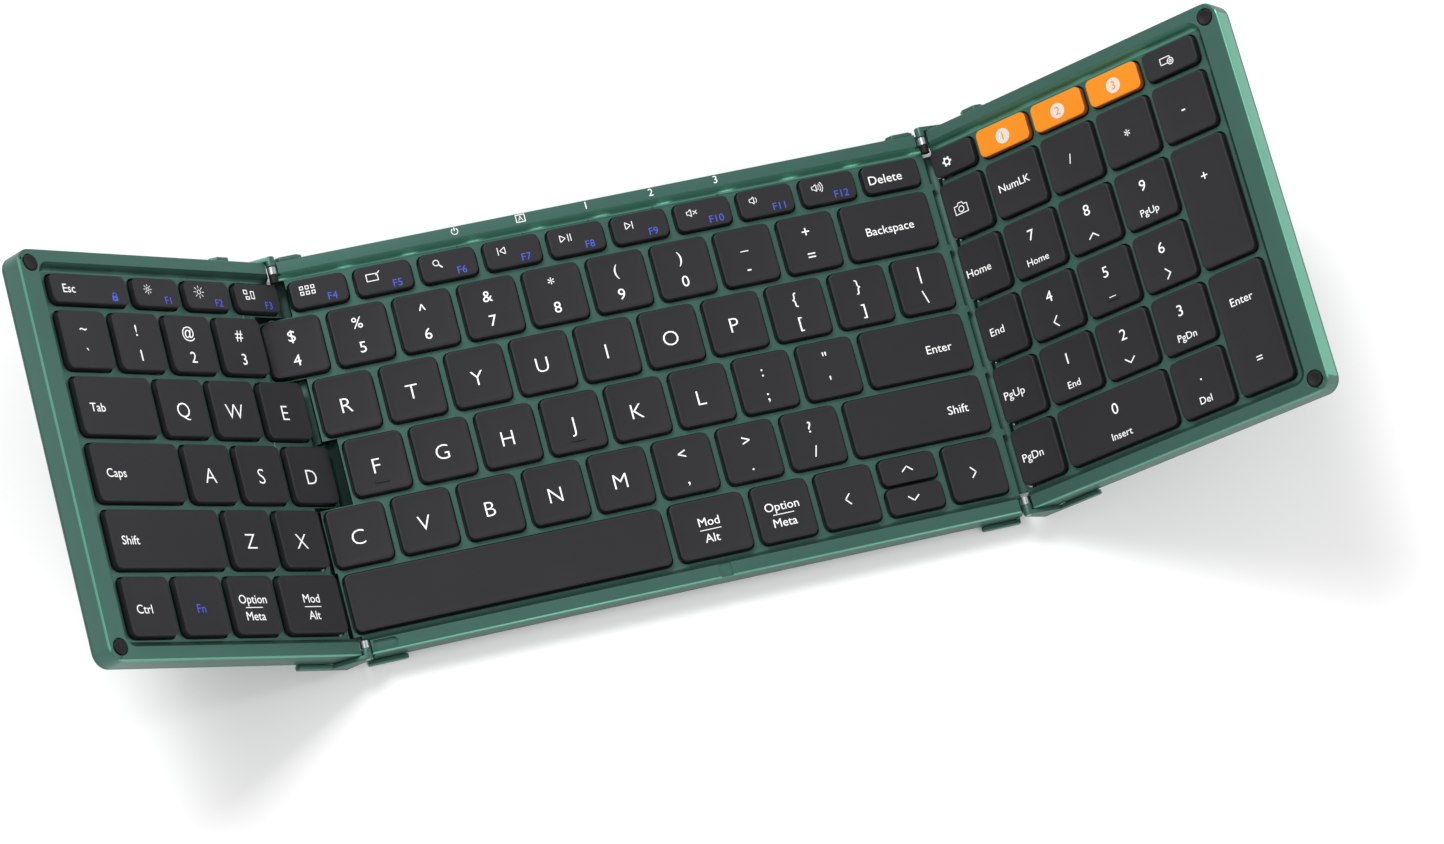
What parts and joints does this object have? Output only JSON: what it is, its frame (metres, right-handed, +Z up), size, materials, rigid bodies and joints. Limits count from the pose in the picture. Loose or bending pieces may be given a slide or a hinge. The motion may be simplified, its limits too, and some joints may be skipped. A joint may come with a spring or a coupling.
{
  "type": "folding wireless keyboard",
  "caption": "Slim folding keyboard in three panels: a centre panel on feet and two wings that fold over it on hinges, with a full key block and a number pad.",
  "frame": {"origin": "on the desk under the centre panel, midway between the two fold axes and midway front to rear", "axes": "+X to the right, from the left fold axis to the right one; +Y to the rear, away from the typist; +Z up. At rest the left wing is lifted 37.7 degrees and the right wing 43.7 degrees."},
  "size_m": [0.35, 0.1198, 0.0784],
  "materials": {
    "frame_green": "anodised satin",
    "cover_green": "anodised satin",
    "key_black": "matte",
    "channel_orange": "matte",
    "rubber_black": "matte",
    "dome_rubber": "matte",
    "steel": "satin",
    "link_white": "matte",
    "battery_foil": "satin",
    "board_green": "satin",
    "light_white": "gloss",
    "ribbon_film": "gloss",
    "magnet_grey": "satin"
  },
  "bodies": {
    "centre_panel": {"centre_top_frame": "frame_green", "centre_bottom_cover": "cover_green", "centre_key_plate": "steel", "centre_dome_sheet": "dome_rubber", "centre_scissor_links": "link_white", "centre_feet": "rubber_black", "centre_screws": "steel", "battery": "battery_foil", "controller_board": "board_green", "usb_port": "steel", "status_light_pipes": "light_white", "flex_ribbons": "ribbon_film", "left_front_hinge_bracket": "frame_green", "left_rear_hinge_bracket": "frame_green", "right_front_hinge_bracket": "frame_green", "right_rear_hinge_bracket": "frame_green", "hinge_pins": "steel"},
    "left_wing": {"left_top_frame": "frame_green", "left_bottom_cover": "cover_green", "left_key_plate": "steel", "left_dome_sheet": "dome_rubber", "left_scissor_links": "link_white", "left_feet": "rubber_black", "left_screws": "steel", "left_bumpers": "rubber_black", "left_front_hinge_arm": "frame_green", "left_rear_hinge_arm": "frame_green", "fold_magnets": "magnet_grey"},
    "right_wing": {"right_top_frame": "frame_green", "right_bottom_cover": "cover_green", "right_key_plate": "steel", "right_dome_sheet": "dome_rubber", "right_scissor_links": "link_white", "right_feet": "rubber_black", "right_screws": "steel", "right_bumpers": "rubber_black", "right_front_hinge_arm": "frame_green", "right_rear_hinge_arm": "frame_green"},
    "left_bottom_keys": {"left_bottom_keys": "key_black"},
    "left_shift_keys": {"left_shift_keys": "key_black"},
    "left_home_keys": {"left_home_keys": "key_black"},
    "left_tab_keys": {"left_tab_keys": "key_black"},
    "left_number_keys": {"left_number_keys": "key_black"},
    "left_function_keys": {"left_function_keys": "key_black"},
    "space_bar": {"space_bar": "key_black"},
    "centre_bottom_keys": {"centre_bottom_keys": "key_black"},
    "centre_shift_keys": {"centre_shift_keys": "key_black"},
    "centre_home_keys": {"centre_home_keys": "key_black"},
    "centre_letter_keys": {"centre_letter_keys": "key_black"},
    "centre_number_keys": {"centre_number_keys": "key_black"},
    "centre_function_keys": {"centre_function_keys": "key_black"},
    "keypad_zero_keys": {"keypad_zero_keys": "key_black"},
    "keypad_one_keys": {"keypad_one_keys": "key_black"},
    "keypad_four_keys": {"keypad_four_keys": "key_black"},
    "keypad_seven_keys": {"keypad_seven_keys": "key_black"},
    "keypad_lock_keys": {"keypad_lock_keys": "key_black"},
    "right_function_keys": {"right_function_keys": "key_black"},
    "channel_key_1": {"channel_key_1": "channel_orange"},
    "channel_key_2": {"channel_key_2": "channel_orange"},
    "channel_key_3": {"channel_key_3": "channel_orange"}
  },
  "joints": [
    {"name": "left_wing_fold", "type": "hinge", "parent": "centre_panel", "child": "left_wing", "pos_m": [-0.09695, 0, 0.0093], "axis": [0, 1, 0], "range_deg": [-37.7, 142.3]},
    {"name": "right_wing_fold", "type": "hinge", "parent": "centre_panel", "child": "right_wing", "pos_m": [0.09695, 0, 0.0093], "axis": [0, -1, 0], "range_deg": [-43.7, 136.3]},
    {"name": "left_bottom_keys_press", "type": "slide", "parent": "left_wing", "child": "left_bottom_keys", "axis": [-0.6115, 0, -0.7912], "range_m": [0, 0.0011], "stiffness_N_per_m": 500, "springref_m": -0.0006},
    {"name": "left_shift_keys_press", "type": "slide", "parent": "left_wing", "child": "left_shift_keys", "axis": [-0.6115, 0, -0.7912], "range_m": [0, 0.0011], "stiffness_N_per_m": 500, "springref_m": -0.0006},
    {"name": "left_home_keys_press", "type": "slide", "parent": "left_wing", "child": "left_home_keys", "axis": [-0.6115, 0, -0.7912], "range_m": [0, 0.0011], "stiffness_N_per_m": 500, "springref_m": -0.0006},
    {"name": "left_tab_keys_press", "type": "slide", "parent": "left_wing", "child": "left_tab_keys", "axis": [-0.6115, 0, -0.7912], "range_m": [0, 0.0011], "stiffness_N_per_m": 500, "springref_m": -0.0006},
    {"name": "left_number_keys_press", "type": "slide", "parent": "left_wing", "child": "left_number_keys", "axis": [-0.6115, 0, -0.7912], "range_m": [0, 0.0011], "stiffness_N_per_m": 500, "springref_m": -0.0006},
    {"name": "left_function_keys_press", "type": "slide", "parent": "left_wing", "child": "left_function_keys", "axis": [-0.6115, 0, -0.7912], "range_m": [0, 0.0011], "stiffness_N_per_m": 500, "springref_m": -0.0006},
    {"name": "space_bar_press", "type": "slide", "parent": "centre_panel", "child": "space_bar", "axis": [0, 0, -1], "range_m": [0, 0.0011], "stiffness_N_per_m": 500, "springref_m": -0.0006},
    {"name": "centre_bottom_keys_press", "type": "slide", "parent": "centre_panel", "child": "centre_bottom_keys", "axis": [0, 0, -1], "range_m": [0, 0.0011], "stiffness_N_per_m": 500, "springref_m": -0.0006},
    {"name": "centre_shift_keys_press", "type": "slide", "parent": "centre_panel", "child": "centre_shift_keys", "axis": [0, 0, -1], "range_m": [0, 0.0011], "stiffness_N_per_m": 500, "springref_m": -0.0006},
    {"name": "centre_home_keys_press", "type": "slide", "parent": "centre_panel", "child": "centre_home_keys", "axis": [0, 0, -1], "range_m": [0, 0.0011], "stiffness_N_per_m": 500, "springref_m": -0.0006},
    {"name": "centre_letter_keys_press", "type": "slide", "parent": "centre_panel", "child": "centre_letter_keys", "axis": [0, 0, -1], "range_m": [0, 0.0011], "stiffness_N_per_m": 500, "springref_m": -0.0006},
    {"name": "centre_number_keys_press", "type": "slide", "parent": "centre_panel", "child": "centre_number_keys", "axis": [0, 0, -1], "range_m": [0, 0.0011], "stiffness_N_per_m": 500, "springref_m": -0.0006},
    {"name": "centre_function_keys_press", "type": "slide", "parent": "centre_panel", "child": "centre_function_keys", "axis": [0, 0, -1], "range_m": [0, 0.0011], "stiffness_N_per_m": 500, "springref_m": -0.0006},
    {"name": "keypad_zero_keys_press", "type": "slide", "parent": "right_wing", "child": "keypad_zero_keys", "axis": [0.6909, 0, -0.723], "range_m": [0, 0.0011], "stiffness_N_per_m": 500, "springref_m": -0.0006},
    {"name": "keypad_one_keys_press", "type": "slide", "parent": "right_wing", "child": "keypad_one_keys", "axis": [0.6909, 0, -0.723], "range_m": [0, 0.0011], "stiffness_N_per_m": 500, "springref_m": -0.0006},
    {"name": "keypad_four_keys_press", "type": "slide", "parent": "right_wing", "child": "keypad_four_keys", "axis": [0.6909, 0, -0.723], "range_m": [0, 0.0011], "stiffness_N_per_m": 500, "springref_m": -0.0006},
    {"name": "keypad_seven_keys_press", "type": "slide", "parent": "right_wing", "child": "keypad_seven_keys", "axis": [0.6909, 0, -0.723], "range_m": [0, 0.0011], "stiffness_N_per_m": 500, "springref_m": -0.0006},
    {"name": "keypad_lock_keys_press", "type": "slide", "parent": "right_wing", "child": "keypad_lock_keys", "axis": [0.6909, 0, -0.723], "range_m": [0, 0.0011], "stiffness_N_per_m": 500, "springref_m": -0.0006},
    {"name": "right_function_keys_press", "type": "slide", "parent": "right_wing", "child": "right_function_keys", "axis": [0.6909, 0, -0.723], "range_m": [0, 0.0011], "stiffness_N_per_m": 500, "springref_m": -0.0006},
    {"name": "channel_key_1_press", "type": "slide", "parent": "right_wing", "child": "channel_key_1", "axis": [0.6909, 0, -0.723], "range_m": [0, 0.0011], "stiffness_N_per_m": 500, "springref_m": -0.0006},
    {"name": "channel_key_2_press", "type": "slide", "parent": "right_wing", "child": "channel_key_2", "axis": [0.6909, 0, -0.723], "range_m": [0, 0.0011], "stiffness_N_per_m": 500, "springref_m": -0.0006},
    {"name": "channel_key_3_press", "type": "slide", "parent": "right_wing", "child": "channel_key_3", "axis": [0.6909, 0, -0.723], "range_m": [0, 0.0011], "stiffness_N_per_m": 500, "springref_m": -0.0006}
  ]
}
